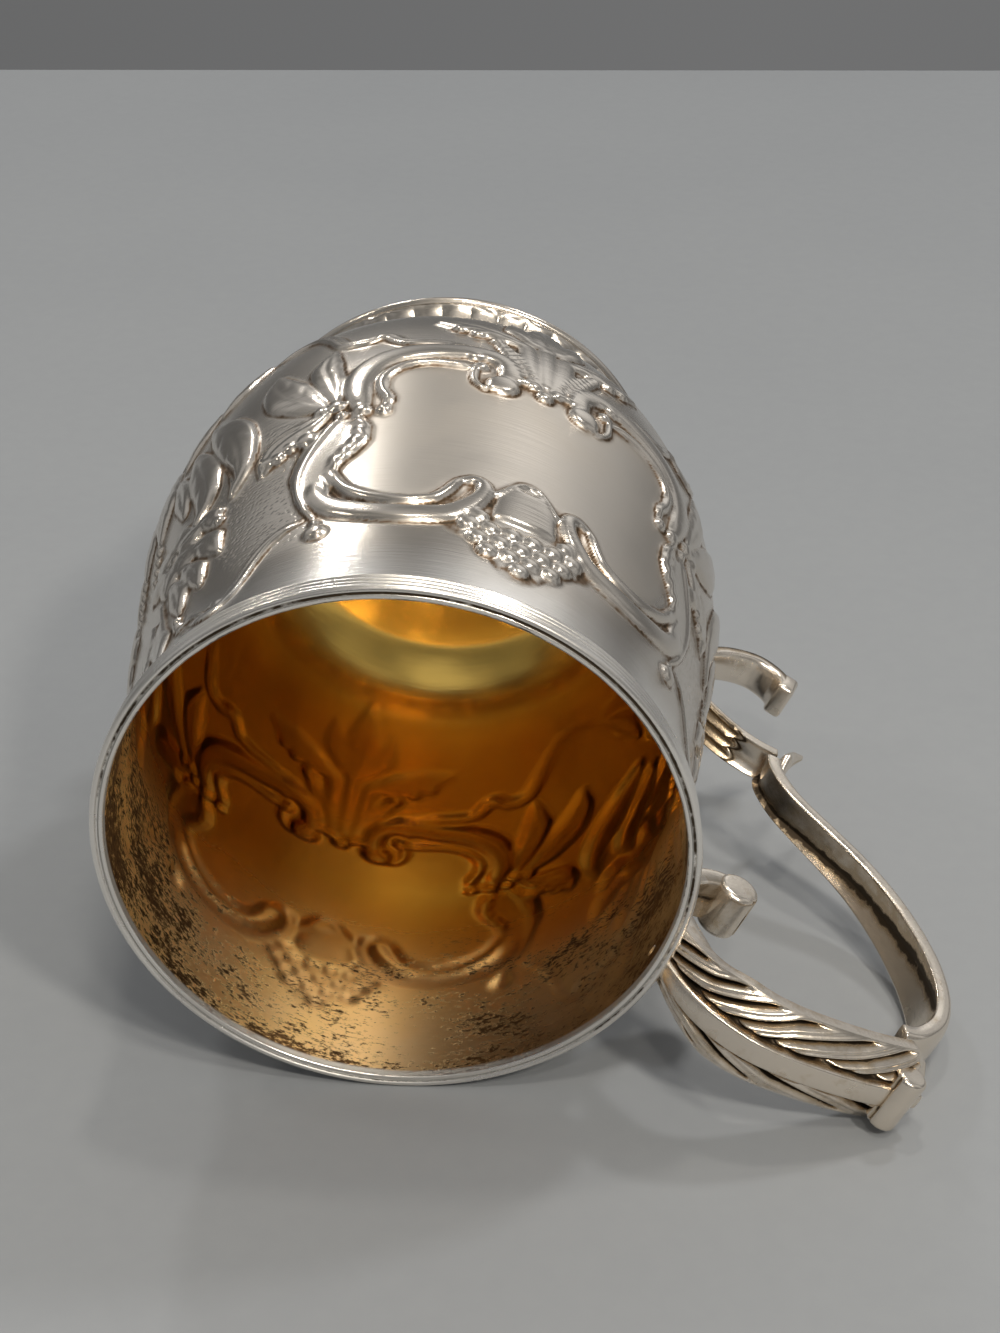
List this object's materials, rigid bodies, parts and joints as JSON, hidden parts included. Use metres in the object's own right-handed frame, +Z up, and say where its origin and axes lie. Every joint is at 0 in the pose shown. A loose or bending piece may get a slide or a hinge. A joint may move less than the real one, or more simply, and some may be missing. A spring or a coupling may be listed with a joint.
{
  "type": "mug",
  "caption": "Small silver mug with a bellied chased body, gilt inside, on a low spreading foot, with a leaf-capped scroll handle.",
  "frame": {"origin": "on the table, under the middle of the bounding box; the cup's axis is 19.4 mm towards -X from it", "axes": "+Z up along the cup's axis, +X from the cup towards the handle"},
  "size_m": [0.1216, 0.0826, 0.109],
  "materials": {
    "chased_silver": "hand-polished chased silver, gilt inside the cup, tarnish in the recesses",
    "plain_silver": "polished silver moulding with tarnish in the reeds",
    "cast_silver": "polished cast silver with dark tarnish in the grooves"
  },
  "bodies": {
    "root": {"body": "chased_silver", "rim_wire": "plain_silver", "foot": "chased_silver", "foot_wire": "plain_silver", "handle_upper_scroll": "cast_silver", "handle_leaf": "cast_silver", "handle_main_scroll": "cast_silver", "handle_lower_scroll": "cast_silver", "handle_bud": "cast_silver"}
  },
  "joints": []
}
